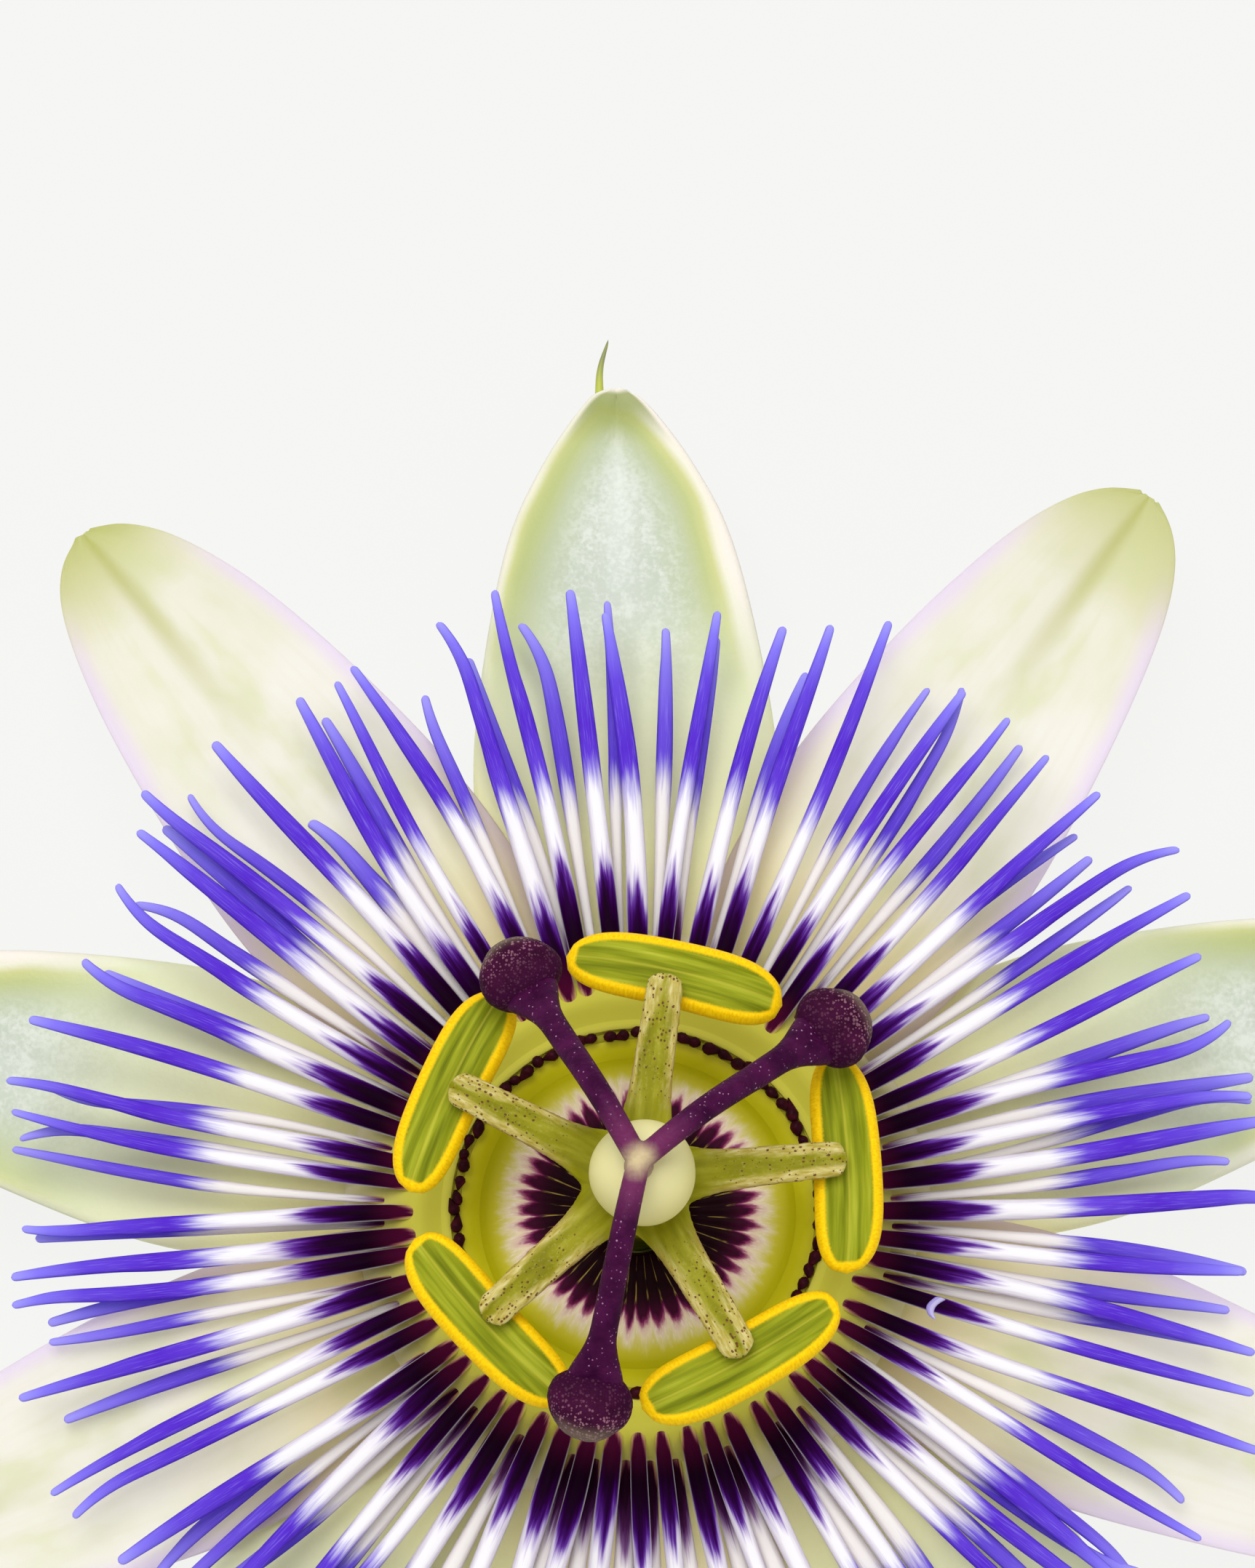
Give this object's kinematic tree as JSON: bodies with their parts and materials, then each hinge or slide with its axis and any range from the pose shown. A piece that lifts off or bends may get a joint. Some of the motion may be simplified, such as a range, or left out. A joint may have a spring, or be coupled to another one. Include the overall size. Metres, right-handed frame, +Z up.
{
  "type": "passion flower",
  "caption": "Open passion flower, face up: petals over broad sepals, a banded ring of corona filaments, and a raised column with stamens, ovary and spreading styles.",
  "frame": {"origin": "on the resting surface, under the centre of the flower's outline as seen from above; the flower's own upright axis stands within 0.5 mm of it", "axes": "+Z up out of the flower's face, along the column; +Y towards the sepal that points up in the picture, and +X to the picture's right"},
  "size_m": [0.0922, 0.0956, 0.0294],
  "materials": {
    "peduncle": "satin, fresh green stalk with a moist cut end",
    "bract": "satin, soft leaf with veins",
    "floral_cup": "satin, yellow-green flesh, olive in the groove",
    "sepal": "satin, fleshy, grey-green face with a whitish rim and a green back",
    "petal": "satin, creamy white, slightly translucent, lilac at the edge",
    "corona_second": "satin, cream and pale lilac filaments, purple at the foot, bluish tips",
    "corona_outer": "satin, filaments banded dark purple, white and violet-blue from the foot",
    "corona_inner": "glossy dark maroon heads",
    "operculum": "satin, dark purple threads, pinkish fringe at the crest",
    "androgynophore": "satin, yellow-green with maroon specks, tan tips",
    "anther": "satin, ribbed green back with a powdery yellow rim",
    "ovary": "satin, smooth pale yellow-green",
    "style": "satin, dark purple with fine pale specks",
    "stigma": "matt, dark purple-brown with pale grains"
  },
  "bodies": {
    "root": {"peduncle": "peduncle", "bract_1": "bract", "bract_2": "bract", "bract_3": "bract", "floral_cup": "floral_cup", "sepal_1": "sepal", "sepal_2": "sepal", "sepal_3": "sepal", "sepal_4": "sepal", "sepal_5": "sepal", "petal_1": "petal", "petal_2": "petal", "petal_3": "petal", "petal_4": "petal", "petal_5": "petal", "corona_second": "corona_second", "corona_outer": "corona_outer", "corona_inner": "corona_inner", "operculum": "operculum", "androgynophore": "androgynophore", "anther_1": "anther", "anther_2": "anther", "anther_3": "anther", "anther_4": "anther", "anther_5": "anther", "ovary": "ovary", "styles": "style", "stigma_1": "stigma", "stigma_2": "stigma", "stigma_3": "stigma"}
  },
  "joints": []
}
